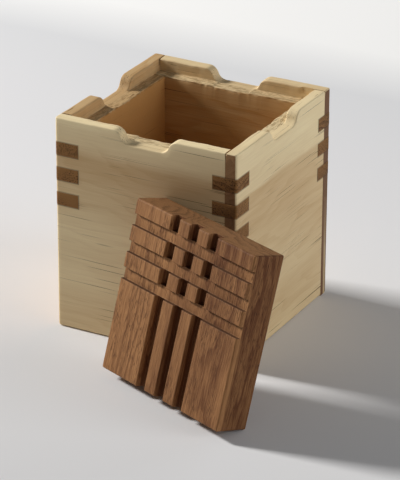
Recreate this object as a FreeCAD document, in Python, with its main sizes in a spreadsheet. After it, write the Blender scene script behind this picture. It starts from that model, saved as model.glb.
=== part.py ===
"""Small square wooden box with twelve corner keys and a thick loose lid.

Four boards stand in a ring. Each is rabbeted at one end, so that a tongue of half its
thickness laps over the plain end of the next board. A rebate runs round the inside of the
rim and carries the lid, and one round the underside holds the floor panel. Every rim has a
finger scoop in its middle. Three triangular keys of dark wood cross each corner at 45
degrees. The lid is a square block with three grooves along its grain and three shallower
ones across it.

Millimetres. The origin is at the middle of the underside, +Z is up and the front is at -Y.
The lid is off the box: it stands on its lower back edge in front of the front right corner
and leans its upper left corner on the front wall.
"""

import FreeCAD, Part
import os

import Sketcher

# Driving sizes: each becomes a cell of the sheet, under the same name
DRIVING = {
    "box_width": 101.6,
    "box_height": 114.3,
    "wall_thick": 12.7,
    "lap_thick": 6.35,
    "seat_depth": 6.35,
    "floor_thick": 6.35,
    "scoop_width": 36.6,
    "scoop_flat": 17.0,
    "scoop_depth": 6.8,
    "corner_round": 1.2,
    "rim_round": 0.6,
    "foot_round": 1.6,
    "key_reach": 13.0,
    "key_height": 7.1,
    "key_pitch": 13.5,
    "key_drop": 12.9,
    "lid_side": 87.6,
    "lid_thick": 19.05,
    "lid_round": 1.0,
    "upright_groove": 6.2,
    "upright_bar": 7.8,
    "upright_depth": 4.2,
    "level_groove": 5.9,
    "level_bar": 7.75,
    "level_depth": 2.2,
    "stand_right": 44.4,
    "lean_gap": 0.3,
    "lid_turn": 21.75,
    "lid_lean": 74.8,
}

CORNERS = ("front_left", "front_right", "back_right", "back_left")
WALLS = ("front_wall", "right_wall", "back_wall", "left_wall")
KEY_LEVELS = ("upper", "middle", "lower")
QUARTER_TURN = 90.0
UP = FreeCAD.Vector(0, 0, 1)
ALONG = FreeCAD.Vector(1, 0, 0)
PARTS_FOLDER = "parts"
NEAR = 1e-4

# Geometry that every sketch has: the origin point and the two axes
ORIGIN = (-1, 1)
X_AXIS = -1
Y_AXIS = -2
START, END = 1, 2


class Size:
    """A length that carries both its number and its formula in the sheet."""

    def __init__(self, number, formula):
        self.number = number
        self.formula = formula

    def _join(self, other, sign, number):
        right = other.formula if isinstance(other, Size) else repr(other)
        return Size(number, f"({self.formula} {sign} {right})")

    def __add__(self, other):
        return self._join(other, "+", self.number + number_of(other))

    def __sub__(self, other):
        return self._join(other, "-", self.number - number_of(other))

    def __mul__(self, other):
        return self._join(other, "*", self.number * number_of(other))

    def __truediv__(self, other):
        return self._join(other, "/", self.number / number_of(other))

    def __neg__(self):
        return self * -1


def number_of(size):
    """The plain number of a Size or of a number."""
    return size.number if isinstance(size, Size) else size


doc = FreeCAD.newDocument("wooden_box")
sheet = doc.addObject("Spreadsheet::Sheet", "sizes")


def driving_sizes():
    """Writes the sheet and returns its cells by name."""
    cells = {}
    for row, (name, number) in enumerate(DRIVING.items(), start=1):
        sheet.set(f"A{row}", name)
        sheet.set(f"B{row}", str(number))
        sheet.setAlias(f"B{row}", name)
        cells[name] = Size(number, f"sizes.{name}")
    doc.recompute()
    return cells


size = driving_sizes()
zero = size["box_width"] * 0

# Worked out from the driving sizes
half_width = size["box_width"] / 2
board_length = size["box_width"] - size["lap_thick"]
scoop_run = (size["scoop_width"] - size["scoop_flat"]) / 2
scoop_radius = (scoop_run * scoop_run + size["scoop_depth"] * size["scoop_depth"]) / (size["scoop_depth"] * 4)
scoop_floor = size["box_height"] - size["scoop_depth"]
upright_pitch = size["upright_bar"] + size["upright_groove"]
level_pitch = size["level_bar"] + size["level_groove"]
half_lid = size["lid_side"] / 2


def new_body(label):
    """An empty body whose label is the sub-part's name."""
    body = doc.addObject("PartDesign::Body", label)
    body.Label = label
    return body


def new_sketch(body, name, role, height=None):
    """A sketch on one of the body's own origin planes, raised by height where one is given."""
    plane = next(item for item in body.Origin.OriginFeatures if item.Role == role)
    sketch = body.newObject("Sketcher::SketchObject", f"{body.Label}_{name}")
    sketch.AttachmentSupport = [(plane, "")]
    sketch.MapMode = "FlatFace"
    if height is not None:
        sketch.setExpression("AttachmentOffset.Base.z", height.formula)
    return sketch


def pin(sketch, line, end, place):
    """Fixes one end of a line at a place that is a pair of Sizes."""
    kinds = (("DistanceX", Y_AXIS), ("DistanceY", X_AXIS))
    for (kind, axis), distance in zip(kinds, place):
        if distance is zero:
            sketch.addConstraint(Sketcher.Constraint("PointOnObject", line, end, axis))
            continue
        index = sketch.addConstraint(Sketcher.Constraint(kind, *ORIGIN, line, end, distance.number))
        sketch.setExpression(f"Constraints[{index}]", distance.formula)


def flat_point(place):
    """The point of a sketch at a pair of Sizes."""
    return FreeCAD.Vector(place[0].number, place[1].number, 0)


def outline(sketch, corners):
    """Adds a closed outline of straight lines through corners, each a pair of Sizes."""
    first = sketch.GeometryCount
    count = len(corners)
    for index, corner in enumerate(corners):
        following = corners[(index + 1) % count]
        sketch.addGeometry(Part.LineSegment(flat_point(corner), flat_point(following)))
    for index, corner in enumerate(corners):
        following = first + (index + 1) % count
        sketch.addConstraint(Sketcher.Constraint("Coincident", first + index, END, following, START))
        pin(sketch, first + index, START, corner)


def rectangle(sketch, left, right, low, high):
    """Adds a rectangle between four Sizes."""
    outline(sketch, [(left, low), (right, low), (right, high), (left, high)])


def pad(body, sketch, height):
    """Raises a sketch by height to a solid."""
    feature = body.newObject("PartDesign::Pad", f"{sketch.Name}_pad")
    feature.Profile = sketch
    feature.setExpression("Length", height.formula)
    doc.recompute()
    return feature


def pocket(body, sketch, depth=None, both_ways=False, upward=False):
    """Cuts a sketch into the body, to a depth or right through, and checks that it cut."""
    before = body.Shape.Volume
    feature = body.newObject("PartDesign::Pocket", f"{sketch.Name}_cut")
    feature.Profile = sketch
    feature.Midplane = both_ways
    feature.Reversed = upward
    if depth is None:
        feature.Type = "ThroughAll"
    else:
        feature.setExpression("Length", depth.formula)
    doc.recompute()
    if not feature.Shape.Volume < before - NEAR:
        raise RuntimeError(f"{feature.Name} cuts nothing")
    return feature


def round_edges(body, name, radius, wanted):
    """Rounds the edges of the body that wanted picks by the box around each."""
    base = body.Tip
    names = []
    for index, edge in enumerate(base.Shape.Edges, start=1):
        if wanted(edge.BoundBox):
            names.append(f"Edge{index}")
    feature = body.newObject("PartDesign::Fillet", f"{body.Label}_{name}")
    feature.Base = (base, names)
    feature.setExpression("Radius", radius.formula)
    doc.recompute()
    return feature


def is_corner(bounds):
    """Whether the box around an edge is the upright line at the piece's own origin."""
    return bounds.XMax < NEAR and bounds.YMax < NEAR


def stand_at_corner(body, turns, height):
    """Turns a piece by quarter turns, so that its own origin lies on that corner of the box."""
    right = half_width if turns in (1, 2) else -half_width
    back = half_width if turns in (2, 3) else -half_width
    body.Placement = FreeCAD.Placement(FreeCAD.Vector(), FreeCAD.Rotation(UP, turns * QUARTER_TURN))
    for axis, distance in (("x", right), ("y", back), ("z", height)):
        body.setExpression(f"Placement.Base.{axis}", distance.formula)


def scoop_outline(sketch):
    """Adds a finger scoop: a flat bottom and two ogee shoulders, each of two equal arcs.

    Both arcs of a shoulder lie level at their outer ends, so with run a and depth d their
    radius is (a * a + d * d) / (4 * d). The outline closes above the rim.
    """
    middle = half_width
    above = size["box_height"] + size["scoop_depth"]
    radius = scoop_radius.number
    rim = size["box_height"].number
    level = FreeCAD.Vector(0, 0, 1)

    def shoulder(side):
        outer = middle + size["scoop_width"] / 2 * side
        inner = middle + size["scoop_flat"] / 2 * side
        between = FreeCAD.Vector((outer.number + inner.number) / 2, rim - size["scoop_depth"].number / 2, 0)
        low_centre = FreeCAD.Vector(inner.number, scoop_floor.number + radius, 0)
        high_centre = FreeCAD.Vector(outer.number, rim - radius, 0)
        low = Part.Circle(low_centre, level, radius)
        high = Part.Circle(high_centre, level, radius)
        low_ends = sorted((low.parameter(flat_point((inner, scoop_floor))), low.parameter(between)))
        high_ends = sorted((high.parameter(flat_point((outer, size["box_height"]))), high.parameter(between)))
        return outer, inner, Part.ArcOfCircle(low, *low_ends), Part.ArcOfCircle(high, *high_ends)

    right_outer, right_inner, right_low, right_high = shoulder(1)
    left_outer, left_inner, left_low, left_high = shoulder(-1)
    rim_height = size["box_height"]
    flat = Part.LineSegment(flat_point((left_inner, scoop_floor)), flat_point((right_inner, scoop_floor)))
    right_side = Part.LineSegment(flat_point((right_outer, rim_height)), flat_point((right_outer, above)))
    top = Part.LineSegment(flat_point((right_outer, above)), flat_point((left_outer, above)))
    left_side = Part.LineSegment(flat_point((left_outer, above)), flat_point((left_outer, rim_height)))
    edges = [flat, right_low, right_high, right_side, top, left_side, left_high, left_low]
    for edge in edges:
        sketch.addGeometry(edge)
    bottom, low_right, high_right, up_right, cap, down_left, high_left, low_left = range(len(edges))
    joints = (
        ("Tangent", bottom, END, low_right, START),
        ("Tangent", low_right, END, high_right, END),
        ("Coincident", high_right, START, up_right, START),
        ("Coincident", up_right, END, cap, START),
        ("Coincident", cap, END, down_left, START),
        ("Coincident", down_left, END, high_left, END),
        ("Tangent", high_left, START, low_left, START),
        ("Tangent", low_left, END, bottom, START),
        ("Vertical", up_right),
        ("Vertical", down_left),
        ("Horizontal", cap),
        ("Horizontal", bottom),
    )
    for joint in joints:
        sketch.addConstraint(Sketcher.Constraint(*joint))
    pin(sketch, bottom, START, (left_inner, scoop_floor))
    pin(sketch, up_right, START, (right_outer, rim_height))
    pin(sketch, down_left, END, (left_outer, rim_height))
    width = sketch.addConstraint(
        Sketcher.Constraint("DistanceX", bottom, START, bottom, END, size["scoop_flat"].number)
    )
    sketch.setExpression(f"Constraints[{width}]", size["scoop_flat"].formula)
    height = sketch.addConstraint(
        Sketcher.Constraint("DistanceY", up_right, START, up_right, END, size["scoop_depth"].number)
    )
    sketch.setExpression(f"Constraints[{height}]", size["scoop_depth"].formula)
    for arc in (low_right, high_right, low_left, high_left):
        index = sketch.addConstraint(Sketcher.Constraint("Radius", arc, radius))
        sketch.setExpression(f"Constraints[{index}]", scoop_radius.formula)


def board_plan(sketch):
    """Adds a board seen from above: its outer face is on the X axis, its tongue at X = 0."""
    lap, thick = size["lap_thick"], size["wall_thick"]
    corners = [
        (zero, zero),
        (board_length, zero),
        (board_length, thick),
        (thick, thick),
        (thick, lap),
        (zero, lap),
    ]
    outline(sketch, corners)


def board_rebates(sketch):
    """Adds the sections of the lid's seat and of the floor's rebate, seen along the board."""
    lap, thick, top = size["lap_thick"], size["wall_thick"], size["box_height"]
    rectangle(sketch, lap, thick, top - size["seat_depth"], top)
    rectangle(sketch, lap, thick, zero, size["floor_thick"])


def key_slots(sketch):
    """Adds the triangles that the keys take out of both ends of a board."""
    reach, width = size["key_reach"], size["box_width"]
    outline(sketch, [(zero, zero), (reach, zero), (zero, reach)])
    outline(sketch, [(width - reach, zero), (width, zero), (width, reach)])


def key_floor(level):
    """Height of the underside of a key: level 0 is the upper one."""
    return size["box_height"] - size["key_drop"] - size["key_height"] - size["key_pitch"] * level


def wall(label, turns):
    """One board, with its tongue, both rebates, its scoop, its rounded edges and its slots."""
    body = new_body(label)
    plan = new_sketch(body, "plan", "XY_Plane")
    board_plan(plan)
    pad(body, plan, size["box_height"])

    rebates = new_sketch(body, "rebates", "YZ_Plane")
    board_rebates(rebates)
    pocket(body, rebates, both_ways=True)

    scoop = new_sketch(body, "scoop", "XZ_Plane")
    scoop_outline(scoop)
    pocket(body, scoop, both_ways=True)

    top = size["box_height"].number
    lap = size["lap_thick"].number

    def is_outer(bounds):
        return bounds.YMax < NEAR or (bounds.XMax < NEAR and bounds.YMax < lap + NEAR)

    def is_foot(bounds):
        return bounds.ZMax < NEAR and is_outer(bounds)

    def is_rim(bounds):
        high = bounds.ZMin > scoop_floor.number - NEAR
        inner = bounds.ZMin > top - NEAR and abs(bounds.YMin - lap) < NEAR and bounds.YLength < NEAR
        return high and (is_outer(bounds) or inner)

    round_edges(body, "corner", size["corner_round"], is_corner)
    round_edges(body, "foot", size["foot_round"], is_foot)
    round_edges(body, "rim", size["rim_round"], is_rim)

    for level, name in enumerate(KEY_LEVELS):
        slots = new_sketch(body, f"{name}_slots", "XY_Plane", key_floor(level))
        key_slots(slots)
        pocket(body, slots, size["key_height"], upward=True)
    stand_at_corner(body, turns, zero)
    return body


def floor_panel():
    """The square panel in the rebates round the underside."""
    body = new_body("floor_panel")
    inside = half_width - size["lap_thick"]
    plan = new_sketch(body, "plan", "XY_Plane")
    rectangle(plan, -inside, inside, -inside, inside)
    pad(body, plan, size["floor_thick"])
    return body


def corner_key(label, turns, level):
    """A triangular key that fills one slot and is rounded with its corner."""
    body = new_body(label)
    plan = new_sketch(body, "plan", "XY_Plane")
    reach = size["key_reach"]
    outline(plan, [(zero, zero), (reach, zero), (zero, reach)])
    pad(body, plan, size["key_height"])
    round_edges(body, "corner", size["corner_round"], is_corner)
    stand_at_corner(body, turns, key_floor(level))
    return body


def lid_placement():
    """Stands the lid on its lower back edge, turned to the left and leaning on the front wall.

    The middle of that edge is stand_right from the middle of the box. The block's edges are
    rounded: it is let down until the rounding of its lower back edge touches the ground, and
    set back until the rounding of its upper left corner is lean_gap in front of the box.
    """
    turn = FreeCAD.Rotation(UP, -size["lid_turn"].number)
    lean = FreeCAD.Rotation(ALONG, size["lid_lean"].number)
    rotation = turn.multiply(lean)
    upward = rotation.multVec(FreeCAD.Vector(0, 1, 0))
    outward = rotation.multVec(FreeCAD.Vector(0, 0, 1))
    rounding = size["lid_round"].number
    half = half_lid.number
    corner = rotation.multVec(FreeCAD.Vector(rounding - half, half - rounding, rounding))
    front = -half_width.number - size["lean_gap"].number - rounding - corner.y
    height = upward.z * half + rounding * (1 - upward.z - outward.z)
    right = size["stand_right"].number + upward.x * half
    return FreeCAD.Placement(FreeCAD.Vector(right, front, height), rotation)


def lid():
    """The square block: its grooved face is at +Z, its grain and its top are along +Y.

    The upright grooves stop at the level ones, whose shallow floors run on between the bars.
    """
    body = new_body("lid")
    plan = new_sketch(body, "plan", "XY_Plane")
    rectangle(plan, -half_lid, half_lid, -half_lid, half_lid)
    pad(body, plan, size["lid_thick"])
    round_edges(body, "edges", size["lid_round"], lambda bounds: True)

    beyond = half_lid + size["lid_round"]
    half_groove = size["upright_groove"] / 2
    lows = [half_lid - level_pitch * place for place in (3, 2, 1)]
    highs = [low + size["level_groove"] for low in lows]
    upright = new_sketch(body, "upright", "XY_Plane", size["lid_thick"])
    for place in (-1, 0, 1):
        middle = upright_pitch * place
        for low, high in zip([-beyond, *highs], [*lows, beyond]):
            rectangle(upright, middle - half_groove, middle + half_groove, low, high)
    pocket(body, upright, size["upright_depth"])

    level = new_sketch(body, "level", "XY_Plane", size["lid_thick"])
    for low, high in zip(lows, highs):
        rectangle(level, -beyond, beyond, low, high)
    pocket(body, level, size["level_depth"])
    body.Placement = lid_placement()
    return body


def all_pieces():
    """Every sub-part of the box and its lid."""
    pieces = [wall(label, turns) for turns, label in enumerate(WALLS)]
    pieces.append(floor_panel())
    for turns, corner in enumerate(CORNERS):
        for level, name in enumerate(KEY_LEVELS):
            pieces.append(corner_key(f"key_{corner}_{name}", turns, level))
    pieces.append(lid())
    return pieces


def check(pieces):
    """Stops where a feature failed or a sub-part isn't one valid solid."""
    for item in doc.Objects:
        if "Invalid" in item.State or "Error" in item.State:
            raise RuntimeError(f"{item.Name} failed: {item.State}")
    for piece in pieces:
        shape = piece.Shape
        if shape.isNull() or not shape.isValid() or len(shape.Solids) != 1:
            raise RuntimeError(f"{piece.Label} is not one valid solid")


pieces = all_pieces()
doc.recompute()
check(pieces)
os.makedirs(PARTS_FOLDER, exist_ok=True)
for piece in pieces:
    piece.Shape.exportStep(os.path.join(PARTS_FOLDER, f"{piece.Label}.step"))
    box = piece.Shape.BoundBox
    print(f"{piece.Label}: volume {piece.Shape.Volume:.0f}, from ({box.XMin:.2f}, {box.YMin:.2f}, {box.ZMin:.2f})"
          f" to ({box.XMax:.2f}, {box.YMax:.2f}, {box.ZMax:.2f})")
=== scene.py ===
"""A small keepsake box of pale boards with dark corner keys and a grooved brown lid block.

The four boards lap round a square, their rims are stepped inside to seat the lid, and each rim has a finger
scoop. The lid stands on its edge in front of the box and leans its upper corner on the front board.
"""

import logging
import math
from dataclasses import dataclass, field, replace
from enum import Enum
from typing import Any, Optional, Union

import bmesh
import bpy
import numpy as np
from mathutils import Matrix, Vector


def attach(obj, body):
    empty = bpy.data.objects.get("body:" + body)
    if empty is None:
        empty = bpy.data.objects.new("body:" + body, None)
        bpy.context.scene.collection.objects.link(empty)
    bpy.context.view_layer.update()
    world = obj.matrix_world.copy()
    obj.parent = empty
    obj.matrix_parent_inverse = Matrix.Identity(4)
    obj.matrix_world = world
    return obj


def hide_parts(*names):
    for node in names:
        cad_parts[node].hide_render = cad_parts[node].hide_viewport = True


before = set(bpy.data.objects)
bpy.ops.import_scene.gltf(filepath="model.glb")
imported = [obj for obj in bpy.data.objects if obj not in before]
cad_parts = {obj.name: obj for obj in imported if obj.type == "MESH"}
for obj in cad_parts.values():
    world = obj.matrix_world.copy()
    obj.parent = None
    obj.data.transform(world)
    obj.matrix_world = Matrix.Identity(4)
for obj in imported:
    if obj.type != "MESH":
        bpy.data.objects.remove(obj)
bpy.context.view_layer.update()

log = logging.getLogger("keepsake_box")

MM = 0.001
Array = np.ndarray
Socket = Union[bpy.types.NodeSocket, float, tuple]


class Corner(Enum):
    """The corners of the box, each with the quarter turns that bring the front left corner to it."""

    FRONT_LEFT = 0
    FRONT_RIGHT = 1
    BACK_RIGHT = 2
    BACK_LEFT = 3


class Row(Enum):
    """The rows of corner keys, counted down from the rim."""

    UPPER = 0
    MIDDLE = 1
    LOWER = 2


# Meshes


def quarter_turned(points: Array, corner: Corner, box_half: float) -> Array:
    """Carries points of a board's own frame to its corner of the box.

    The box's front left corner is the frame's origin, so the points move by half the box towards the front
    left, and then x, y become -y, x once for each quarter turn.

    Args:
        points: Positions in the last axis, in millimetres.
        corner: The corner at which the board's tongue or the key stands.
        box_half: Half the width of the box.

    Returns:
        The positions in the box's frame.
    """
    angle = math.radians(90.0 * corner.value)
    c, s = math.cos(angle), math.sin(angle)
    x, y = points[..., 0] - box_half, points[..., 1] - box_half
    return np.stack([c * x - s * y, s * x + c * y, points[..., 2]], axis=-1)


def grid_faces(rows: int, columns: int, closed: bool) -> Array:
    """Quads of a grid whose points are numbered along its columns first.

    The quad at row i and column j joins i, j to i+1, j to i+1, j+1 to i, j+1.

    Args:
        rows: Number of rows.
        columns: Number of points in a row.
        closed: Whether the last column joins the first again.

    Returns:
        One line of four point numbers for each quad.
    """
    i, j = np.meshgrid(np.arange(rows - 1), np.arange(columns if closed else columns - 1), indexing="ij")
    following = (j + 1) % columns
    return np.stack([i * columns + j, (i + 1) * columns + j, (i + 1) * columns + following,
                     i * columns + following], axis=-1).reshape(-1, 4)


def make_piece(name: str, points: Array, faces: list, crease: float = 38.0) -> bpy.types.Object:
    """Makes an object at the origin from points in millimetres, with doubled points joined.

    Args:
        name: The object's name.
        points: Positions, one per line.
        faces: Lists of point numbers, counter-clockwise from outside.
        crease: Angle in degrees over which an edge stays sharp.

    Returns:
        The new object, linked to the scene.
    """
    mesh = bpy.data.meshes.new(name)
    mesh.from_pydata((points.reshape(-1, 3) * MM).tolist(), [], faces)
    work = bmesh.new()
    work.from_mesh(mesh)
    bmesh.ops.remove_doubles(work, verts=work.verts, dist=0.002 * MM)
    bmesh.ops.dissolve_degenerate(work, edges=work.edges, dist=0.002 * MM)
    work.to_mesh(mesh)
    work.free()
    mesh.polygons.foreach_set("use_smooth", [len(face.vertices) < 5 for face in mesh.polygons])
    mesh.set_sharp_from_angle(angle=math.radians(crease))
    mesh.update()
    piece = bpy.data.objects.new(name, mesh)
    bpy.context.scene.collection.objects.link(piece)
    return piece


def dress(piece: bpy.types.Object, finish: bpy.types.Material) -> None:
    """Gives a piece one finish over its whole surface."""
    piece.data.materials.clear()
    piece.data.materials.append(finish)


def wobble(along: Array, size: float, length: float, seed: int) -> Array:
    """A smooth uneven line: five sine waves of random phase, shorter and smaller in turn, never above zero.

    Args:
        along: Distance along the edge, in millimetres.
        size: Deepest dip, about.
        length: Length of the longest wave.
        seed: Which of the lines to take.

    Returns:
        Heights from about -size to 0.
    """
    chance = np.random.default_rng(seed)
    order = np.arange(1, 6)
    phase = chance.uniform(0.0, 2.0 * math.pi, 5)
    stretch = chance.uniform(0.8, 1.3, 5) * order ** 1.2 / length
    waves = np.sin(2.0 * math.pi * along[:, None] * stretch + phase) / order
    return -size * np.clip(0.5 + 0.3 * waves.sum(axis=1), 0.0, 1.0)


@dataclass
class Stations:
    """The stops of a closed profile, each a fixed place plus shares of lines that vary along the board."""

    fields: list = field(default_factory=list)

    def arc(self, centre: dict, radius: float, start: float, end: float, count: int) -> None:
        """Adds stops on a circular arc.

        Args:
            centre: The arc's centre: y and z in millimetres, and shares of the lines.
            radius: The arc's radius.
            start: First angle in degrees, from y towards z.
            end: Last angle.
            count: Number of stops.
        """
        angles = np.radians(np.linspace(start, end, count))
        columns = {key: np.full(count, value) for key, value in centre.items()}
        self.fields.append({**columns, "across": radius * np.cos(angles), "up": radius * np.sin(angles)})

    def column(self, key: str, runs: Array) -> Array:
        """One value at every stop, with straight runs between neighbouring arcs filled in evenly.

        Args:
            key: Which value of the stops to take.
            runs: Number of points to add after each arc.

        Returns:
            The value at every point of the profile.
        """
        stops = [np.asarray(part.get(key, np.zeros(len(part["up"]))), float) for part in self.fields]
        out = []
        for stop, following, count in zip(stops, stops[1:] + stops[:1], runs):
            share = np.linspace(0.0, 1.0, int(count) + 2)[1:-1]
            out.append(np.concatenate([stop, stop[-1] + share * (following[0] - stop[-1])]))
        return np.concatenate(out)


@dataclass
class Walls:
    """The four boards of the box, all one shape, each a quarter turn from the last."""

    box_width: float = 101.6
    height: float = 114.3
    thick: float = 12.7
    lap: float = 6.35
    seat: float = 6.35
    floor_level: float = 6.35
    scoop_width: float = 36.6
    scoop_flat: float = 17.0
    scoop_depth: float = 6.8
    corner_round: float = 1.2
    foot_round: float = 1.6
    rim_outer_round: float = 0.75
    rim_inner_round: float = 0.8
    ledge_round: float = 0.5
    joint_round: float = 0.1
    end_round: float = 0.7
    hollow: float = 0.25
    crisp: float = 0.1
    lip_depth: float = 1.6
    least_step: float = 0.05
    least_share: float = 0.02
    step_ease: float = 0.35
    end_ease: float = 0.6
    dip_fade: float = 8.0
    rim_dips: tuple = (0.15, 46.0)
    ledge_dips: tuple = (0.35, 30.0)
    brim_dips: tuple = (0.22, 22.0)
    lip_dips: tuple = (0.4, 13.0)
    worn_dips: tuple = (0.2, 18.0)
    nodes: tuple = ("front_wall", "right_wall", "back_wall", "left_wall")

    @property
    def length(self) -> float:
        """Length of a board, which stops short of the far corner by the next board's lap."""
        return self.box_width - self.lap

    def scoop_drop(self, along: Array) -> Array:
        """Depth of the finger scoop below the rim.

        The depth is full within the flat. Beyond it two equal arcs of radius (run^2 + depth^2) / (4 depth),
        with run the width of the slope, rise to the rim, the first hollow and the second round.

        Args:
            along: Distance along the board, in millimetres.

        Returns:
            The depth at each place.
        """
        run = (self.scoop_width - self.scoop_flat) / 2.0
        radius = (run * run + self.scoop_depth ** 2) / (4.0 * self.scoop_depth)
        away = np.clip(np.abs(along - self.box_width / 2.0) - self.scoop_flat / 2.0, 0.0, run)
        hollow = radius - np.sqrt(np.maximum(radius ** 2 - away ** 2, 0.0))
        round_part = self.scoop_depth - radius + np.sqrt(np.maximum(radius ** 2 - (run - away) ** 2, 0.0))
        rise = np.where(away < run / 2.0, hollow, round_part)
        return self.scoop_depth - rise

    def lines_along(self) -> Array:
        """Places of the profiles along a board, close together at its arrises and scoop shoulders.

        Returns:
            Rising distances from the tongue's end, in millimetres.
        """
        middle = self.box_width / 2.0
        outer, inner = self.scoop_width / 2.0, self.scoop_flat / 2.0
        ease = np.array([0.0, 0.05, 0.18, 0.38, 0.66, 0.95])
        return np.concatenate([
            ease, np.linspace(self.corner_round, self.thick - 0.01, 9), [self.thick],
            np.linspace(self.thick + 1.2, middle - outer, 16),
            np.linspace(middle - outer, middle - inner, 40)[1:],
            np.linspace(middle - inner, middle + inner, 24)[1:],
            np.linspace(middle + inner, middle + outer, 40)[1:],
            np.linspace(middle + outer, self.length - 0.3, 22)[1:],
            self.length - np.array([0.1, 0.05, 0.02, 0.0])])

    def board(self, corner: Corner) -> bpy.types.Object:
        """Makes one board as a profile carried along it.

        Every stop of the profile is y = fixed + shares of the uneven lines, z = fixed + a share of the rim
        height + a share of the ledge height, and the rim height falls by the scoop's depth. Where the rim
        comes down to the ledge, and along the tongue, the eased stops shrink with the step between them.

        Args:
            corner: The corner at which the board's tongue stands.

        Returns:
            The board.
        """
        x = self.lines_along()
        seed = 10 * (corner.value + 1)
        from_ends = np.clip(np.minimum(x, self.length - x) / self.dip_fade, 0.0, 1.0)
        rim = self.height - self.scoop_drop(x) + wobble(x, *self.rim_dips, seed) * from_ends
        sunk = wobble(x, *self.ledge_dips, seed + 1) * np.clip(from_ends * 4.0 - 3.0, 0.0, 1.0)
        ledge = np.minimum(self.height - self.seat + sunk, rim - self.least_step)
        near_end = np.clip(self.end_round - x, 0.0, self.end_round)
        rim = rim - (self.end_round - np.sqrt(self.end_round ** 2 - near_end ** 2))
        foot, outer, inner = self.foot_round, self.rim_outer_round, self.rim_inner_round
        lap, wall, bed, ease = self.lap, self.thick, self.floor_level, self.ledge_round
        hollow, crisp = self.hollow, self.crisp
        worn_rim = {"rim": 1.0, "brim": 1.0, "worn": 1.0, "eased": 1.0}
        stops = Stations()
        stops.arc({"y": foot, "z": foot}, foot, 270, 180, 7)
        stops.arc({"y": outer, "z": -outer, "rim": 1.0}, outer, 180, 90, 6)
        stops.arc({"y": lap - inner, "z": -inner, **worn_rim}, inner, 90, 0, 6)
        stops.arc({"y": lap + hollow, "z": hollow, "ledge": 1.0, "eased": 1.0}, hollow, 180, 270, 4)
        stops.arc({"y": wall - ease, "z": -ease, "ledge": 1.0, "lip": 1.0}, ease, 90, 0, 7)
        stops.arc({"y": wall, "z": -self.lip_depth, "ledge": 1.0}, 0.0, 0, 0, 1)
        stops.arc({"y": wall - crisp, "z": bed + crisp}, crisp, 0, -90, 3)
        stops.arc({"y": lap, "z": bed}, 0.0, 0, 0, 1)
        stops.arc({"y": lap - crisp, "z": crisp}, crisp, 0, -90, 3)
        runs = np.array([22, 4, 3, 5, 4, 10, 2, 2, 2])
        share = {key: stops.column(key, runs)[None, :]
                 for key in ("y", "z", "rim", "ledge", "brim", "lip", "worn", "eased", "across", "up")}
        step = np.clip((rim - ledge) / (inner + self.step_ease), self.least_share, 1.0)
        step = (step * np.clip((x - wall) / self.end_ease, self.least_share, 1.0))[:, None]
        brim = wobble(x, *self.brim_dips, seed + 2)[:, None]
        lip = wobble(x, *self.lip_dips, seed + 3)[:, None]
        worn = wobble(x, *self.worn_dips, seed + 4)[:, None] * step
        small = 1.0 + (step - 1.0) * share["eased"]
        y = share["y"] + share["brim"] * brim * step + share["lip"] * lip + share["across"] * small
        z = (share["z"] * small + share["rim"] * rim[:, None] + share["ledge"] * ledge[:, None]
             + share["worn"] * worn + share["up"] * small)
        bite = np.clip(self.corner_round - x, 0.0, self.corner_round)
        outer_in = self.corner_round - np.sqrt(self.corner_round ** 2 - bite ** 2)
        arris = self.joint_round
        joint = np.clip(arris - (self.length - x), 0.0, arris)
        outer_in = (outer_in + arris - np.sqrt(arris ** 2 - joint ** 2))[:, None]
        y = np.where(y < lap, outer_in + y * (1.0 - outer_in / lap), y)
        y = np.where((x < self.thick - 0.005)[:, None], np.minimum(y, lap), y)
        points = np.stack([np.broadcast_to(x[:, None], y.shape), y, z], axis=-1)
        rows, columns = y.shape
        faces = grid_faces(rows, columns, closed=True).tolist()
        faces += [list(range(columns)), list(range((rows - 1) * columns, rows * columns))[::-1]]
        turned = quarter_turned(points, corner, self.box_width / 2.0)
        return make_piece(f"{self.nodes[corner.value]}_board", turned, faces)


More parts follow.
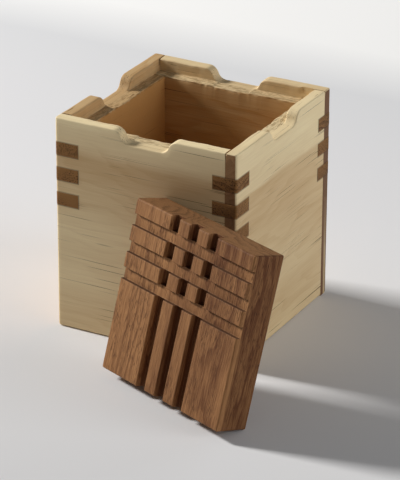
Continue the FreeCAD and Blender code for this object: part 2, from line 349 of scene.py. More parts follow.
@dataclass
class CornerKeys:
    """The three dark triangular splines let into each corner."""

    box_width: float = 101.6
    box_height: float = 114.3
    reach: float = 13.0
    tall: float = 7.1
    pitch: float = 13.5
    drop: float = 12.9
    corner_round: float = 1.2
    proud: float = 0.1
    arris: float = 0.3
    back: float = 0.6
    tuck: float = 0.3
    reach_spread: tuple = (-0.35, 0.25)
    height_spread: float = 0.12
    height_dips: tuple = (0.3, 21.0)
    stop_gap: float = 2.0
    corner_stops: int = 7
    leg_stops: int = 8
    arris_stops: tuple = (0.0, 0.03, 0.09, 0.18, 0.3)

    def key(self, corner: Corner, row: Row) -> bpy.types.Object:
        """Makes one key: a triangle with a rounded right angle, carried upward, smaller at its ends.

        The outline runs down one leg, round the corner on an arc and along the other leg, and closes behind
        on the long side. At the height s from an end within the arris, it shrinks by arris - sqrt(arris^2 -
        (arris - s)^2).

        Args:
            corner: The corner of the box.
            row: The row of keys.

        Returns:
            The key.
        """
        seed = 7 * corner.value + row.value
        chance = np.random.default_rng(seed)
        reach = self.reach + chance.uniform(*self.reach_spread, 2)
        angles = np.radians(np.linspace(270.0, 180.0, self.corner_stops))
        radius = self.corner_round
        leg = np.linspace(0.0, 1.0, self.leg_stops)
        still = np.zeros(self.leg_stops)
        bend = np.stack([np.cos(angles), np.sin(angles)], axis=-1)[1:-1]
        first = np.stack([reach[0] + (radius - reach[0]) * leg, still], axis=-1)
        second = np.stack([still, radius + (reach[1] - radius) * leg], axis=-1)
        behind = np.array([[self.back, reach[1] - self.tuck], [reach[0] - self.tuck, self.back]])
        outline = np.concatenate([first, radius + radius * bend, second, behind])
        outward = np.concatenate([np.tile([0.0, -1.0], (self.leg_stops, 1)), bend,
                                  np.tile([-1.0, 0.0], (self.leg_stops, 1)), np.zeros((2, 2))])
        away = np.array(self.arris_stops)
        top = self.box_height - self.drop - self.pitch * row.value
        heights = np.concatenate([top - self.tall + away, [top - self.tall / 2.0], top - away[::-1]])
        shrink = self.arris - np.sqrt(self.arris ** 2 - np.clip(self.arris - away, 0.0, self.arris) ** 2)
        shrink = np.concatenate([shrink, [0.0], shrink[::-1]])
        lean = wobble(np.arange(len(outline)) * self.stop_gap, *self.height_dips, seed + 90)
        flat = outline[None, :, :] + outward[None, :, :] * (self.proud - shrink)[:, None, None]
        middle = top - self.tall / 2.0
        tall = middle + (heights[:, None] - middle) * (1.0 + lean[None, :] * self.height_spread)
        points = np.concatenate([flat, tall[..., None]], axis=-1)
        rows, columns = tall.shape
        faces = grid_faces(rows, columns, closed=True).tolist()
        faces += [list(range(columns)), list(range((rows - 1) * columns, rows * columns))[::-1]]
        turned = quarter_turned(points, corner, self.box_width / 2.0)
        return make_piece(f"corner_key_{corner.name.lower()}_{row.name.lower()}", turned, faces)


@dataclass
class Lid:
    """The square lid block with three upright and three level grooves in its face."""

    side: float = 87.6
    thick: float = 19.05
    edge_round: float = 1.0
    upright_depth: float = 4.2
    level_depth: float = 2.2
    upright_width: float = 6.2
    upright_bar: float = 7.8
    level_width: float = 5.9
    level_bar: float = 7.75
    arris: float = 0.42
    turn: float = -21.75
    lean: float = 74.8
    place: tuple = (48.65, -77.48, 42.04)
    sway: float = 0.1
    sway_lengths: tuple = (31.0, 17.0)
    sway_margin: float = 2.0
    far: float = 60.0
    hollow_away: tuple = (-0.3, -0.16, -0.07, -0.03)
    upright_hollow: tuple = (0.0, 0.0, 0.04, 0.14, 0.3)
    level_hollow: tuple = (0.0, 0.0, 0.02, 0.07, 0.15)

    @property
    def axes(self) -> Array:
        """The lid's own axes as columns: across the face, up the face and out of the face."""
        return np.array(Matrix.Rotation(math.radians(self.turn), 3, "Z") @ Matrix.Rotation(
            math.radians(self.lean), 3, "X"))

    def bar_profile(self) -> tuple[Array, Array]:
        """The arris of a bar as a quarter circle, from the groove's wall to the bar's top.

        Returns:
            Distances from the wall, positive on the bar, and the heights there.
        """
        bar = self.arris * (1.0 - np.cos(np.linspace(0.0, math.pi / 2.0, 7)))
        top = self.thick - self.arris + np.sqrt(self.arris ** 2 - (self.arris - bar) ** 2)
        return bar, top

    def upright_profile(self) -> tuple[Array, Array]:
        """The bar's profile, its upright wall, and the groove's floor, which meets it in a small hollow.

        Returns:
            Distances from the wall, positive on the bar, and the heights there.
        """
        bar, top = self.bar_profile()
        floor = self.thick - self.upright_depth
        away = np.array([-self.far, *self.hollow_away])
        low = floor + np.array(self.upright_hollow)
        return np.concatenate([away, bar, [self.far]]), np.concatenate([low, top, [self.thick]])

    def level_profiles(self) -> tuple[Array, Array, Array]:
        """Two heights against distance from a level groove's wall: the bars, and the groove's floor.

        The bars have the same arris and drop out of the way past the wall. The floor runs on across the
        upright grooves, which stop at it, and drops out of the way on the bars.

        Returns:
            Distances from the wall, positive on the bar, the bars' heights and the floor's heights.
        """
        bar, top = self.bar_profile()
        floor = self.thick - self.level_depth
        away = np.concatenate([[-self.far, *self.hollow_away], bar, [self.far]])
        low = floor + np.array(self.level_hollow)
        bars = np.concatenate([np.zeros(len(low)), top, [self.thick]])
        floors = np.concatenate([low, np.zeros(len(bar) + 1)])
        return away, bars, floors

    def grid_lines(self, centres: Array, width: float, away: Array) -> Array:
        """Places of the grid lines one way across the face, close together at the groove walls and edges.

        Args:
            centres: The grooves' middles, from the lid's middle.
            width: The grooves' width.
            away: Distances of the lines from each groove wall, positive on the bar.

        Returns:
            Rising distances from the lid's middle, in millimetres.
        """
        half = self.side / 2.0
        walls = np.concatenate([centres - width / 2.0, centres + width / 2.0])
        left = (centres - width / 2.0)[:, None] - away[None, :]
        right = (centres + width / 2.0)[:, None] + away[None, :]
        rim = self.edge_round * (1.0 - np.cos(np.linspace(0.0, math.pi / 2.0, 8)))
        lines = np.concatenate([left.ravel(), right.ravel(), rim - half, half - rim])
        gaps = np.sort(np.concatenate([walls, [-half, half]]))
        fill = gaps[:-1, None] + np.linspace(0.0, 1.0, 9)[None, 1:-1] * np.diff(gaps)[:, None]
        return np.unique(np.round(np.concatenate([lines, fill.ravel()]), 4))

    def make(self) -> bpy.types.Object:
        """Makes the lid as a front sheet and a back sheet joined round their edges.

        The front's height is the lower of the upright grooves' profile and the bars' profile, or the level
        groove's floor where that is higher, and never above the rounded edge, thick - (r - sqrt(r^2 - m^2))
        with m the distance past the flat part. A corner of the square is drawn in to a quarter circle by
        a' = a sqrt(1 - b^2 / 2), b' = b sqrt(1 - a^2 / 2), where a and b are the shares of the rounding that
        a point has passed.

        Returns:
            The lid, leaning on the box.
        """
        half, r = self.side / 2.0, self.edge_round
        pitch = self.upright_width + self.upright_bar
        upright = np.array([-pitch, 0.0, pitch])
        level = half - np.arange(1, 4) * (self.level_bar + self.level_width) + self.level_width / 2.0
        away, deep = self.upright_profile()
        level_away, bars, floors = self.level_profiles()
        u, v = np.meshgrid(self.grid_lines(upright, self.upright_width, away[1:-1]),
                           self.grid_lines(level, self.level_width, level_away[1:-1]), indexing="ij")
        sway = self.sway * np.sin(v / self.sway_lengths[1] + u / self.sway_lengths[0])
        past_upright = np.abs(u[..., None] - upright).min(axis=-1) - self.upright_width / 2.0
        past_level = np.abs(v[..., None] - level).min(axis=-1) - self.level_width / 2.0
        p = np.clip((np.abs(u) - (half - r)) / r, 0.0, 1.0)
        q = np.clip((np.abs(v) - (half - r)) / r, 0.0, 1.0)
        p, q = p * np.sqrt(1.0 - q * q / 2.0), q * np.sqrt(1.0 - p * p / 2.0)
        fall = r - np.sqrt(np.maximum(r * r - (p * p + q * q) * r * r, 0.0))
        front = np.minimum(np.interp(past_upright, away, deep), np.interp(past_level, level_away, bars))
        front = np.maximum(front, np.interp(past_level, level_away, floors))
        front = np.minimum(front, self.thick - fall)
        inside = np.maximum(np.abs(u), np.abs(v)) < half - self.sway_margin
        flat_u = np.sign(u) * np.where(p > 0.0, half - r + r * p, np.abs(u)) + np.where(inside, sway, 0.0)
        flat_v = np.sign(v) * np.where(q > 0.0, half - r + r * q, np.abs(v))
        rows, columns = u.shape
        sheets = np.concatenate([np.stack([flat_u, flat_v, front], axis=-1).reshape(-1, 3),
                                 np.stack([flat_u, flat_v, fall], axis=-1).reshape(-1, 3)])
        sheet = grid_faces(rows, columns, closed=False)
        total = rows * columns
        number = np.arange(total).reshape(rows, columns)
        rim = np.concatenate([number[:-1, 0], number[-1, :-1], number[:0:-1, -1], number[0, :0:-1]])
        following = np.roll(rim, -1)
        sides = np.stack([rim, rim + total, following + total, following], axis=-1)
        faces = sheet.tolist() + (sheet[:, ::-1] + total).tolist() + sides.tolist()
        world = sheets @ self.axes.T + np.array(self.place)
        return make_piece("lid_block", world, faces, crease=42.0)


# Finishes


def shade(red: int, green: int, blue: int) -> tuple:
    """A colour written as it looks on a screen, as the linear colour that a shader takes.

    Args:
        red: Red, from 0 to 255.
        green: Green, from 0 to 255.
        blue: Blue, from 0 to 255.

    Returns:
        The linear red, green and blue, and full opacity.
    """
    def linear(value: int) -> float:
        """One channel: a straight line near black and a power of 2.4 above."""
        share = value / 255.0
        return share / 12.92 if share <= 0.04045 else ((share + 0.055) / 1.055) ** 2.4
    return (linear(red), linear(green), linear(blue), 1.0)


class NodeBench:
    """Adds nodes to one material and joins them."""

    def __init__(self, material: bpy.types.Material) -> None:
        """Clears the material's nodes.

        Args:
            material: The material to work on.
        """
        material.use_nodes = True
        self.tree = material.node_tree
        self.tree.nodes.clear()

    def add(self, kind: str, **settings: Any) -> bpy.types.Node:
        """Adds a node and sets its properties.

        Args:
            kind: The node's type.
            settings: The properties by name.

        Returns:
            The node.
        """
        node = self.tree.nodes.new(kind)
        for key, value in settings.items():
            setattr(node, key, value)
        return node

    def feed(self, target: bpy.types.NodeSocket, source: Socket) -> None:
        """Joins a socket to another socket, or sets it to a number or colour.

        Args:
            target: The input.
            source: An output, a number or a colour.
        """
        if isinstance(source, bpy.types.NodeSocket):
            self.tree.links.new(source, target)
        else:
            target.default_value = source

    def math(self, operation: str, first: Socket, second: Socket = 0.0, third: Socket = 0.0,
             clamp: bool = False) -> bpy.types.NodeSocket:
        """A math node on up to three numbers.

        Args:
            operation: The node's operation.
            first: The first number.
            second: The second number.
            third: The third number.
            clamp: Whether the result is kept from 0 to 1.

        Returns:
            The result.
        """
        node = self.add("ShaderNodeMath", operation=operation, use_clamp=clamp)
        for target, source in zip(node.inputs, (first, second, third)):
            self.feed(target, source)
        return node.outputs[0]

    def between(self, value: Socket, low: float, high: float) -> bpy.types.NodeSocket:
        """A smooth step from 0 at low to 1 at high, where high may be the smaller.

        Args:
            value: The number to look at.
            low: Where the step is 0.
            high: Where the step is 1.

        Returns:
            The step, from 0 to 1.
        """
        node = self.add("ShaderNodeMapRange", interpolation_type="SMOOTHSTEP")
        self.feed(node.inputs["Value"], value)
        flip = high < low
        node.inputs["From Min"].default_value = high if flip else low
        node.inputs["From Max"].default_value = low if flip else high
        node.inputs["To Min"].default_value = 1.0 if flip else 0.0
        node.inputs["To Max"].default_value = 0.0 if flip else 1.0
        return node.outputs[0]

    def stretched(self, vector: Socket, scale: tuple) -> bpy.types.NodeSocket:
        """A vector multiplied axis by axis.

        Args:
            vector: The vector.
            scale: What each axis is multiplied by.

        Returns:
            The new vector.
        """
        node = self.add("ShaderNodeVectorMath", operation="MULTIPLY")
        self.feed(node.inputs[0], vector)
        node.inputs[1].default_value = scale
        return node.outputs[0]

    def noise(self, vector: Socket, scale: tuple, detail: float, rough: float = 0.5) -> bpy.types.NodeSocket:
        """Noise about 0.5.

        Args:
            vector: The place in the piece's own millimetres.
            scale: Waves per millimetre along each axis.
            detail: Number of finer waves on top.
            rough: How strong the finer waves are.

        Returns:
            The noise.
        """
        node = self.add("ShaderNodeTexNoise")
        self.feed(node.inputs["Vector"], self.stretched(vector, scale))
        node.inputs["Scale"].default_value = 1.0
        node.inputs["Detail"].default_value = detail
        node.inputs["Roughness"].default_value = rough
        return node.outputs[0]

    def mixed(self, share: Socket, first: Socket, second: Socket) -> bpy.types.NodeSocket:
        """A mix of two colours.

        Args:
            share: The second colour's share, from 0 to 1.
            first: The first colour.
            second: The second colour.

        Returns:
            The mix.
        """
        node = self.add("ShaderNodeMix", data_type="RGBA", blend_type="MIX")
        self.feed(node.inputs[0], share)
        self.feed(node.inputs[6], first)
        self.feed(node.inputs[7], second)
        return node.outputs[2]

    def ramp(self, value: Socket, stops: list) -> bpy.types.NodeSocket:
        """A colour ramp.

        Args:
            value: The place on the ramp, from 0 to 1.
            stops: Pairs of a place and the colour or grey level there.

        Returns:
            The colour.
        """
        node = self.add("ShaderNodeValToRGB")
        self.feed(node.inputs[0], value)
        line = node.color_ramp.elements
        while len(line) < len(stops):
            line.new(0.5)
        for element, (place, tone) in zip(line, stops):
            element.position = place
            element.color = tone if isinstance(tone, tuple) else (tone, tone, tone, 1.0)
        return node.outputs[0]


@dataclass(frozen=True)
class GrainFrame:
    """Where a piece of wood lay in its tree: its own axes, with x along the grain.

    The place is in metres, the turn in degrees, and pith is the y, z of the tree's centre line in the
    piece's own millimetres. Slant is how far the line moves in y and z for each millimetre along. Bands are
    stops of deeper tone, from 0 to 1, across the span on one axis, and the last number deepens the whole
    piece, lightening it below 0. On the left board and the keys that number is painted light and shade.
    """

    place: tuple
    turn: tuple
    pith: tuple
    slant: tuple = (0.0, 0.0)
    bands: tuple = ()
    band_start: float = 0.0
    band_span: float = 114.3
    band_axis: int = 2
    band_sway: float = 0.3
    stain_and_shade: float = 0.0


@dataclass(frozen=True)
class WoodFinish:
    """A kind of wood: its colours, its figure in waves per millimetre, and the painted shade on its inside.
    """

    pale: tuple
    deep: tuple
    end: tuple
    streak: tuple
    ring: float
    ring_contrast: float
    warp: float
    tone_swing: float
    fibre: tuple
    fibre_contrast: float
    pore: tuple
    pore_cut: float
    pore_strength: float
    roughness: float
    bump: float
    gloss: float
    inside_shade: float = 0.0
    inner_axis: str = "across"
    inner_range: tuple = (12.2, 12.6)
    end_facing: tuple = (0.9, 0.99)
    relief_depth: float = 0.0003

    def figure(self, bench: NodeBench, spot: Socket, grain: GrainFrame) -> dict:
        """The wood's figure as sockets: growth rings, tone, fibres, pores, bands and places in millimetres.

        A ring's phase is the distance from the pith, pushed about by noise, over the ring width. Its colour
        deepens slowly through the ring and falls back sharply. Fibres and pores are noise drawn out along
        the grain.

        Args:
            bench: The material's nodes.
            spot: The place in the piece's own millimetres.
            grain: How the piece lies in its tree.

        Returns:
            The sockets by name.
        """
        parts = bench.add("ShaderNodeSeparateXYZ")
        bench.feed(parts.inputs[0], spot)
        along, across, up = parts.outputs
        y = bench.math("SUBTRACT", bench.math("MULTIPLY_ADD", along, -grain.slant[0], across), grain.pith[0])
        z = bench.math("SUBTRACT", bench.math("MULTIPLY_ADD", along, -grain.slant[1], up), grain.pith[1])
        distance = bench.math("SQRT", bench.math("MULTIPLY_ADD", y, y, bench.math("MULTIPLY", z, z)))
        push = bench.math("SUBTRACT", bench.noise(spot, (0.012, 0.045, 0.045), 2.0), 0.5)
        ripple = bench.math("SUBTRACT", bench.noise(spot, (0.03, 0.3, 0.3), 1.0), 0.5)
        distance = bench.math("MULTIPLY_ADD", push, self.warp, distance)
        distance = bench.math("MULTIPLY_ADD", ripple, self.warp * 0.12, distance)
        phase = bench.math("FRACT", bench.math("DIVIDE", distance, self.ring))
        late = bench.ramp(phase, [(0.0, 0.05), (0.45, 0.18), (0.82, 0.9), (0.92, 1.0), (1.0, 0.05)])
        weight = bench.noise(spot, (0.004, 0.06, 0.06), 1.0)
        return {
            "late": bench.math("MULTIPLY", late, bench.between(weight, 0.25, 0.75)),
            "tone": bench.noise(spot, (0.006, 0.05, 0.05), 3.0, 0.55),
            "fibre": bench.noise(spot, self.fibre, 3.0, 0.6),
            "pore": bench.between(bench.noise(spot, self.pore, 0.0), self.pore_cut, self.pore_cut + 0.07),
            "cluster": bench.noise(spot, (0.02, 0.07, 0.07), 1.0),
            "torn": bench.noise(spot, (0.22, 0.9, 0.9), 3.0, 0.65),
            "band": self.bands(bench, grain, parts, push),
            "along": along, "across": across, "up": up,
        }

    def bands(self, bench: NodeBench, grain: GrainFrame, parts: bpy.types.Node, push: Socket) -> Socket:
        """The broad bands of tone across a piece, pushed about by the rings' own noise, on some boards
        holding painted light and shade.

        Args:
            bench: The material's nodes.
            grain: How the piece lies in its tree.
            parts: The node with the place's three parts.
            push: The rings' noise.

        Returns:
            The deeper tone's share, with the whole piece's deepening, on some pieces painted light and shade.
        """
        if not grain.bands:
            return grain.stain_and_shade
        place = bench.math("MULTIPLY_ADD", push, self.warp * grain.band_sway, parts.outputs[grain.band_axis])
        place = bench.math("SUBTRACT", place, grain.band_start)
        level = bench.ramp(bench.math("DIVIDE", place, grain.band_span), list(grain.bands))
        return bench.math("ADD", level, grain.stain_and_shade)

    def colour(self, bench: NodeBench, figure: dict, end_share: Socket) -> bpy.types.NodeSocket:
        """The wood's colour.

        Args:
            bench: The material's nodes.
            figure: The wood's figure.
            end_share: The share of end grain, from 0 to 1.

        Returns:
            The colour.
        """
        rings = bench.math("MULTIPLY", figure["late"], self.ring_contrast)
        swing = bench.math("MULTIPLY", bench.math("SUBTRACT", figure["tone"], 0.5), self.tone_swing)
        fibres = bench.math("MULTIPLY", bench.math("SUBTRACT", figure["fibre"], 0.5), self.fibre_contrast)
        share = bench.math("ADD", bench.math("ADD", rings, swing), fibres)
        # Painted shade: faces inside the box, and the lid below its level grooves' floor, are deepened.
        inner = bench.between(figure[self.inner_axis], *self.inner_range)
        inner = bench.math("MULTIPLY", inner, self.inside_shade)
        share = bench.math("ADD", bench.math("ADD", share, inner), figure["band"], clamp=True)
        face = bench.mixed(share, self.pale, self.deep)
        pores = bench.math("MULTIPLY", figure["pore"], bench.between(figure["cluster"], 0.42, 0.56))
        face = bench.mixed(bench.math("MULTIPLY", pores, self.pore_strength), face, self.streak)
        end_tone = bench.math("ADD", bench.math("MULTIPLY", figure["late"], 0.55),
                              bench.math("SUBTRACT", figure["fibre"], 0.45), clamp=True)
        end = bench.mixed(end_tone, self.end, self.streak)
        return bench.mixed(end_share, face, end)

    def bind(self, name: str, grain: GrainFrame, extra: Optional[Any] = None) -> bpy.types.Material:
        """Makes the finish's material for one piece.

        Args:
            name: The material's name.
            grain: How the piece lies in its tree.
            extra: What else to do to the colour, as a function of the bench, the figure, the colour and the
                normal in the piece's own axes.

        Returns:
            The material.
        """
        material = bpy.data.materials.new(name)
        bench = NodeBench(material)
        where = bench.add("ShaderNodeTexCoord")
        spot = self.own_axes(bench, where.outputs["Object"], grain, placed=True)
        facing = self.own_axes(bench, where.outputs["Normal"], grain, placed=False)
        turned = bench.add("ShaderNodeSeparateXYZ")
        bench.feed(turned.inputs[0], facing)
        end_share = bench.between(bench.math("ABSOLUTE", turned.outputs[0]), *self.end_facing)
        figure = self.figure(bench, spot, grain)
        colour = self.colour(bench, figure, end_share)
        if extra is not None:
            colour = extra(bench, figure, colour, turned)
        shader = bench.add("ShaderNodeBsdfPrincipled")
        bench.feed(shader.inputs["Base Color"], colour)
        rough = bench.math("MULTIPLY_ADD", bench.math("SUBTRACT", figure["fibre"], 0.5), 0.25, self.roughness)
        bench.feed(shader.inputs["Roughness"], bench.math("MULTIPLY_ADD", end_share, 0.12, rough))
        shader.inputs["Specular IOR Level"].default_value = self.gloss
        relief = bench.math("SUBTRACT", figure["fibre"], bench.math("MULTIPLY", figure["pore"], 0.7))
        relief = bench.math("MULTIPLY_ADD", figure["late"], 0.3, relief)
        bump = bench.add("ShaderNodeBump")
        bump.inputs["Strength"].default_value = self.bump
        bump.inputs["Distance"].default_value = self.relief_depth
        bench.feed(bump.inputs["Height"], relief)
        bench.feed(shader.inputs["Normal"], bump.outputs[0])
        out = bench.add("ShaderNodeOutputMaterial")
        bench.feed(out.inputs[0], shader.outputs[0])
        return material

    @staticmethod
    def own_axes(bench: NodeBench, vector: Socket, grain: GrainFrame, placed: bool) -> bpy.types.NodeSocket:
        """Turns a place or a direction into the piece's own axes.

        Args:
            bench: The material's nodes.
            vector: The place or direction.
            grain: How the piece lies in its tree.
            placed: Whether it is a place, which then comes out in millimetres.

        Returns:
            The vector in the piece's own axes.
        """
        node = bench.add("ShaderNodeMapping", vector_type="TEXTURE")
        bench.feed(node.inputs["Vector"], vector)
        node.inputs["Rotation"].default_value = tuple(math.radians(angle) for angle in grain.turn)
        if placed:
            node.inputs["Location"].default_value = grain.place
            node.inputs["Scale"].default_value = (MM, MM, MM)
        return node.outputs[0]


@dataclass
class Carpentry:
    """The three woods of the box, how each piece was cut, and the marks on it, some of them painted light and
    shade.

    A mark's pair of numbers says where it starts and where it is full.
    """

    walls: Walls
    keys: CornerKeys
    lid: Lid
    pine: WoodFinish = WoodFinish(
        pale=shade(246, 226, 182), deep=shade(184, 138, 84), end=shade(168, 128, 90),
        streak=shade(96, 64, 34), ring=3.4, ring_contrast=0.15, warp=22.0, tone_swing=0.8,
        fibre=(0.035, 2.0, 2.0), fibre_contrast=0.32, pore=(0.016, 2.2, 2.2), pore_cut=0.7,
        # Painted shade: the boards' faces inside the box are deepened.
        pore_strength=0.95, roughness=0.55, bump=0.3, gloss=0.15, inside_shade=0.45)
    brown: WoodFinish = WoodFinish(
        pale=shade(176, 128, 84), deep=shade(98, 60, 36), end=shade(142, 102, 66), streak=shade(66, 37, 20),
        ring=5.0, ring_contrast=0.5, warp=30.0, tone_swing=0.6, fibre=(0.11, 1.8, 1.8), fibre_contrast=1.3,
        pore=(0.3, 2.4, 2.4), pore_cut=0.6, pore_strength=0.6, roughness=0.6, bump=0.35, gloss=0.12,
        # Painted shade: the lid is deepened below its level grooves' floor, in the upright grooves, on its
        # sides and back.
        inside_shade=0.45, inner_axis="up", inner_range=(16.7, 16.3))
    dark: WoodFinish = WoodFinish(
        pale=shade(150, 108, 64), deep=shade(82, 50, 28), end=shade(110, 76, 44), streak=shade(42, 26, 15),
        ring=3.0, ring_contrast=0.7, warp=12.0, tone_swing=1.0, fibre=(0.1, 1.8, 1.8), fibre_contrast=1.2,
        pore=(0.3, 2.2, 2.2), pore_cut=0.58, pore_strength=0.7, roughness=0.6, bump=0.5, gloss=0.1)
    glue_tone: tuple = shade(70, 44, 24)
    glue_fade: tuple = (0.55, 0.15)
    glue_depth: tuple = (7.0, 6.6)
    glue_share: float = 0.55
    torn_tone: tuple = shade(126, 92, 48)
    torn_past_lap: tuple = (-0.12, 0.25)
    torn_above_ledge: tuple = (-1.1, -0.7)
    torn_noise: tuple = (0.42, 0.62)
    torn_share: float = 0.5
    sawn_share: float = 0.12
    # Groove walls: darker end grain, with a painted shadow line where the arris under each bar is darkened.
    groove_wall_shade_tone: tuple = shade(58, 34, 20)
    groove_wall_facing: tuple = (0.55, 0.85)
    groove_wall_margin: tuple = (1.2, 1.8)
    groove_wall_share: float = 0.7
    # Painted shade on end grain: the back board's end-grain colour, deeper than the pine's own end grain, for
    # the dark strip at the far end of the right face.
    far_end_grain_shade: tuple = shade(122, 88, 64)

    def glue_lines(self, bench: NodeBench, figure: dict, colour: Socket) -> Socket:
        """Darkens a board in a thin line round its keys.

        A key's rectangle on the board is within its reach of either end of the box's width and half its
        height of the nearest row's middle, and the line is where the larger of the two overshoots is small.

        Args:
            bench: The material's nodes.
            figure: The wood's figure.
            colour: The colour so far.

        Returns:
            The colour with the lines.
        """
        keys = self.keys
        end = bench.math("MINIMUM", figure["along"], bench.math("SUBTRACT", keys.box_width, figure["along"]))
        beyond = bench.math("SUBTRACT", end, keys.reach)
        top = keys.box_height - keys.drop - keys.tall / 2.0 + keys.pitch / 2.0
        fall = bench.math("SUBTRACT", top, figure["up"])
        row = bench.math("SUBTRACT", bench.math("MODULO", fall, keys.pitch), keys.pitch / 2.0)
        above = bench.math("SUBTRACT", bench.math("ABSOLUTE", row), keys.tall / 2.0)
        away = bench.math("MAXIMUM", beyond, above)
        in_rows = bench.math("MULTIPLY", bench.between(fall, 0.0, 0.01),
                             bench.between(fall, 3.0 * keys.pitch, 3.0 * keys.pitch - 0.01))
        outside = bench.between(figure["across"], *self.glue_depth)
        near = bench.between(away, *self.glue_fade)
        line = bench.math("MULTIPLY", near, bench.math("MULTIPLY", in_rows, outside))
        return bench.mixed(bench.math("MULTIPLY", line, self.glue_share), colour, self.glue_tone)

    def board_marks(self, bench: NodeBench, figure: dict, colour: Socket, _turned: bpy.types.Node) -> Socket:
        """Adds the glue lines, and the darker torn patches that the saw left on the ledge.

        Args:
            bench: The material's nodes.
            figure: The wood's figure.
            colour: The colour so far.
            _turned: The normal's three parts, which the marks on a board don't need.

        Returns:
            The colour with the marks.
        """
        ledge = self.walls.height - self.walls.seat
        past_lap = [self.walls.lap + past for past in self.torn_past_lap]
        above_ledge = [ledge + above for above in self.torn_above_ledge]
        sawn = bench.math("MULTIPLY", bench.between(figure["across"], *past_lap),
                          bench.between(figure["up"], *above_ledge))
        torn = bench.between(figure["torn"], *self.torn_noise)
        torn = bench.math("MULTIPLY_ADD", torn, self.torn_share, self.sawn_share)
        colour = bench.mixed(bench.math("MULTIPLY", sawn, torn), colour, self.torn_tone)
        return self.glue_lines(bench, figure, colour)

    def board(self, corner: Corner) -> bpy.types.Material:
        """The pine of one board, whose grain runs along it.

        Args:
            corner: The corner at which the board's tongue stands.

        Returns:
            The material.
        """
        start = quarter_turned(np.zeros(3), corner, self.walls.box_width / 2.0) * MM
        pith = {Corner.FRONT_LEFT: (-70.0, 118.0), Corner.FRONT_RIGHT: (-62.0, 40.0),
                Corner.BACK_RIGHT: (-80.0, 60.0), Corner.BACK_LEFT: (-55.0, 90.0)}[corner]
        bands = {
            # Painted highlight: the front board's stops fall to 0 at the top, so its rim is as pale as the
            # wood goes, standing in for the lamp's sheen on it.
            Corner.FRONT_LEFT: ((0.0, 0.4), (0.3, 0.15), (0.5, 0.1), (0.7, 0.42), (0.83, 0.58), (0.865, 0.3),
                                (0.96, 0.15), (0.985, 0.0), (1.0, 0.0)),
            # Painted shadow: the right board's sharp step from 0.765 to 0.785 leaves it deeper below and
            # lighter above, the edge of a shadow cast across its face from outside the box.
            Corner.FRONT_RIGHT: ((0.0, 0.4), (0.4, 0.4), (0.765, 0.55), (0.785, 0.18), (0.97, 0.12),
                                 (1.0, 0.1)),
            Corner.BACK_RIGHT: ((0.0, 0.4), (0.5, 0.35), (0.93, 0.4), (1.0, 0.3)),
            # Painted shade: the left board's stops sit deeper than the other boards'.
            Corner.BACK_LEFT: ((0.0, 0.5), (0.5, 0.55), (1.0, 0.45))}[corner]
        # Painted shade: the left board is deepened all over, standing in for a shadow cast on it from outside
        # the box.
        stain_and_shade = 0.25 if corner is Corner.BACK_LEFT else 0.0
        turn = (0.0, 0.0, 90.0 * corner.value)
        grain = GrainFrame(tuple(start), turn, pith, (0.05, -0.03), bands, stain_and_shade=stain_and_shade)
        # Painted shade: the back board's end grain is deepened past the pine's own end-grain colour.
        pine = replace(self.pine, end=self.far_end_grain_shade) if corner is Corner.BACK_RIGHT else self.pine
        return pine.bind(f"pine_{self.walls.nodes[corner.value]}", grain, self.board_marks)

    def key(self, corner: Corner, row: Row) -> bpy.types.Material:
        """The dark wood of one key, whose grain runs across the corner.

        Args:
            corner: The corner of the box.
            row: The row of keys.

        Returns:
            The material.
        """
        start = quarter_turned(np.zeros(3), corner, self.walls.box_width / 2.0) * MM
        # Painted light and shade: one dark wood, with the front left keys lightened as if well lit and the
        # front right keys deepened as if in the lid's shade.
        stain_and_shade = {Corner.FRONT_LEFT: -0.35, Corner.FRONT_RIGHT: 0.12}.get(corner, 0.2)
        turn = (0.0, 0.0, 90.0 * corner.value - 45.0)
        grain = GrainFrame(tuple(start), turn, (20.0 + 9.0 * row.value, 40.0), stain_and_shade=stain_and_shade)
        return self.dark.bind(f"dark_key_{corner.name.lower()}_{row.name.lower()}", grain)

    def lid_wood(self) -> bpy.types.Material:
        """The brown wood of the lid, whose grain runs up its face.

        Returns:
            The material.
        """
        axes = self.lid.axes
        columns = np.stack([axes[:, 1], -axes[:, 0], axes[:, 2]], axis=1)
        turn = tuple(math.degrees(angle) for angle in Matrix(columns.tolist()).to_euler("XYZ"))
        place = tuple(np.array(self.lid.place) * MM)
        half = self.lid.side / 2.0
        bands = ((0.0, 0.25), (0.02, 0.3), (0.06, 0.55), (0.3, 0.6), (0.5, 0.6), (0.62, 0.45), (0.7, 0.22),
                 (0.92, 0.25), (1.0, 0.45))
        grain = GrainFrame(place, turn, (-34.0, -30.0), (0.03, 0.02), bands, -half, self.lid.side,
                           band_axis=1, band_sway=0.1)
        return self.brown.bind("brown_lid_wood", grain, self.groove_wall_grain_and_shade)

    def groove_wall_grain_and_shade(self, bench: NodeBench, figure: dict, colour: Socket, turned: bpy.types.Node) -> Socket:
        """Darkens the level grooves' end-grain walls and paints a shadow line under each bar, not at the
        lid's ends.

        Args:
            bench: The material's nodes.
            figure: The wood's figure.
            colour: The colour so far.
            turned: The normal's three parts in the piece's own axes.

        Returns:
            The colour with the dark walls.
        """
        ends = [self.lid.side / 2.0 - margin for margin in self.groove_wall_margin]
        wall = bench.between(bench.math("ABSOLUTE", turned.outputs[0]), *self.groove_wall_facing)
        inside = bench.between(bench.math("ABSOLUTE", figure["along"]), *ends)
        # Partly the walls' own darker end grain, partly a painted shadow line along the arris under each bar.
        grain_and_shade = bench.math("MULTIPLY", bench.math("MULTIPLY", wall, inside), self.groove_wall_share)
        return bench.mixed(grain_and_shade, colour, self.groove_wall_shade_tone)

    def floor_board(self) -> bpy.types.Material:
        """The pine of the box's floor panel."""
        grain = GrainFrame((0.0, 0.0, 0.0), (0.0, 0.0, 90.0), (12.0, -70.0), (0.02, 0.0), stain_and_shade=0.5)
        return self.pine.bind("pine_floor", grain)


# Studio


@dataclass(frozen=True)
class Lamp:
    """A square soft lamp, placed in metres and aimed at the box."""

    name: str
    place: tuple
    side: float
    power: float
    tint: tuple = (1.0, 1.0, 1.0)


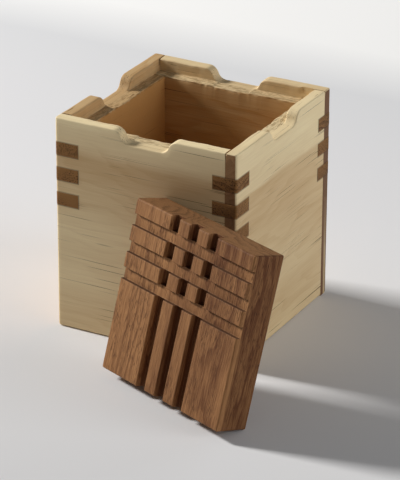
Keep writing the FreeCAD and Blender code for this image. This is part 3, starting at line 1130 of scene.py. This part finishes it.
@dataclass
class Studio:
    """The pale floor, the soft lamps and the camera."""

    azimuth: float = 28.38
    elevation: float = 24.51
    roll: float = 0.25
    distance: float = 1489.79
    lens: float = 219.59
    shift_right: float = 3.10
    shift_up: float = -10.45
    aim_height: float = 50.0
    lamps: tuple = (
        Lamp("left_lamp", (-2.84, -0.16, 1.62), 0.5, 132.0, (1.0, 0.985, 0.955)),
        Lamp("right_lamp", (2.2, 0.3, 0.65), 1.3, 19.5, (0.96, 0.985, 1.0)),
        Lamp("back_lamp", (0.7, 2.6, 1.0), 1.6, 9.5),
    )
    lamp_aim: tuple = (0.0, 0.0, 0.05)
    world_level: float = 0.11
    floor_half: float = 6000.0
    floor_lines: int = 13
    floor_drop: float = 0.05
    floor_roughness: float = 0.8
    floor_gloss: float = 0.05
    floor_stops: tuple = (
        (-0.22, shade(222, 222, 224)), (-0.1, shade(228, 228, 230)), (0.0, shade(234, 234, 236)),
        (0.12, shade(233, 233, 236)), (0.23, shade(230, 230, 233)), (0.31, shade(226, 227, 230)),
        (0.38, shade(255, 255, 255)),
    )

    def camera(self) -> None:
        """Makes the camera, turned about its own line of sight by the roll.

        It looks along -back, where back = (sin a cos e, -cos a cos e, sin e), right = (cos a, sin a, 0) and
        up = back x right.
        """
        a, e, roll = (math.radians(v) for v in (self.azimuth, self.elevation, self.roll))
        back = Vector((math.sin(a) * math.cos(e), -math.cos(a) * math.cos(e), math.sin(e)))
        right = Vector((math.cos(a), math.sin(a), 0.0))
        up = back.cross(right)
        target = right * self.shift_right + up * self.shift_up + Vector((0.0, 0.0, self.aim_height))
        place = (target + back * self.distance) * MM
        rolled_right = right * math.cos(roll) + up * math.sin(roll)
        rolled_up = up * math.cos(roll) - right * math.sin(roll)
        turn = Matrix((rolled_right, rolled_up, back)).transposed()
        data = bpy.data.cameras.new("camera")
        data.lens = self.lens
        camera = bpy.data.objects.new("camera", data)
        camera.matrix_world = Matrix.Translation(place) @ turn.to_4x4()
        bpy.context.scene.collection.objects.link(camera)
        bpy.context.scene.camera = camera

    def light(self) -> None:
        """Makes the lamps and the pale world, and shows colours as they are written."""
        for lamp in self.lamps:
            data = bpy.data.lights.new(lamp.name, "AREA")
            data.shape = "SQUARE"
            data.size = lamp.side
            data.energy = lamp.power
            data.color = lamp.tint
            light = bpy.data.objects.new(lamp.name, data)
            light.location = lamp.place
            behind = Vector(lamp.place) - Vector(self.lamp_aim)
            light.rotation_euler = behind.to_track_quat("Z", "Y").to_euler()
            bpy.context.scene.collection.objects.link(light)
        world = bpy.data.worlds.new("studio")
        world.use_nodes = True
        world.node_tree.nodes["Background"].inputs["Color"].default_value = (1.0, 1.0, 1.0, 1.0)
        world.node_tree.nodes["Background"].inputs["Strength"].default_value = self.world_level
        bpy.context.scene.world = world
        bpy.context.scene.view_settings.view_transform = "Standard"

    def floor(self) -> None:
        """Makes the floor as a flat grid just under the box, with a colour that follows y and ends white."""
        lines = np.linspace(-self.floor_half, self.floor_half, self.floor_lines)
        x, y = np.meshgrid(lines, lines, indexing="ij")
        points = np.stack([x, y, np.full_like(x, -self.floor_drop)], axis=-1)
        quads = grid_faces(self.floor_lines, self.floor_lines, closed=False).tolist()
        ground = make_piece("studio_floor", points, quads)
        material = bpy.data.materials.new("studio_floor")
        bench = NodeBench(material)
        shader = bench.add("ShaderNodeBsdfPrincipled")
        parts = bench.add("ShaderNodeSeparateXYZ")
        bench.feed(parts.inputs[0], bench.add("ShaderNodeTexCoord").outputs["Object"])
        first, last = self.floor_stops[0][0], self.floor_stops[-1][0]
        share = bench.math("SUBTRACT", parts.outputs[1], first)
        share = bench.math("DIVIDE", share, last - first, clamp=True)
        stops = [((place - first) / (last - first), tone) for place, tone in self.floor_stops]
        bench.feed(shader.inputs["Base Color"], bench.ramp(share, stops))
        shader.inputs["Roughness"].default_value = self.floor_roughness
        shader.inputs["Specular IOR Level"].default_value = self.floor_gloss
        out = bench.add("ShaderNodeOutputMaterial")
        bench.feed(out.inputs[0], shader.outputs[0])
        dress(ground, material)


def main() -> None:
    """Builds the studio and the box's pieces in order."""
    logging.basicConfig(level=logging.INFO, format="%(name)s: %(message)s")
    studio = Studio()
    studio.camera()
    studio.light()
    studio.floor()
    walls, keys, lid = Walls(), CornerKeys(), Lid()
    wood = Carpentry(walls, keys, lid)
    for corner in Corner:
        board = walls.board(corner)
        dress(board, wood.board(corner))
        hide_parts(walls.nodes[corner.value])
        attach(board, "box")
        log.info("board %s has %d points", board.name, len(board.data.vertices))
        for row in Row:
            key = keys.key(corner, row)
            dress(key, wood.key(corner, row))
            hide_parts(f"key_{corner.name.lower()}_{row.name.lower()}")
            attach(key, "box")
            log.info("key %s has %d points", key.name, len(key.data.vertices))
    block = lid.make()
    dress(block, wood.lid_wood())
    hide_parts("lid")
    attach(block, "lid")
    log.info("lid has %d points", len(block.data.vertices))
    dress(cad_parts["floor_panel"], wood.floor_board())


if __name__ == "__main__":
    main()
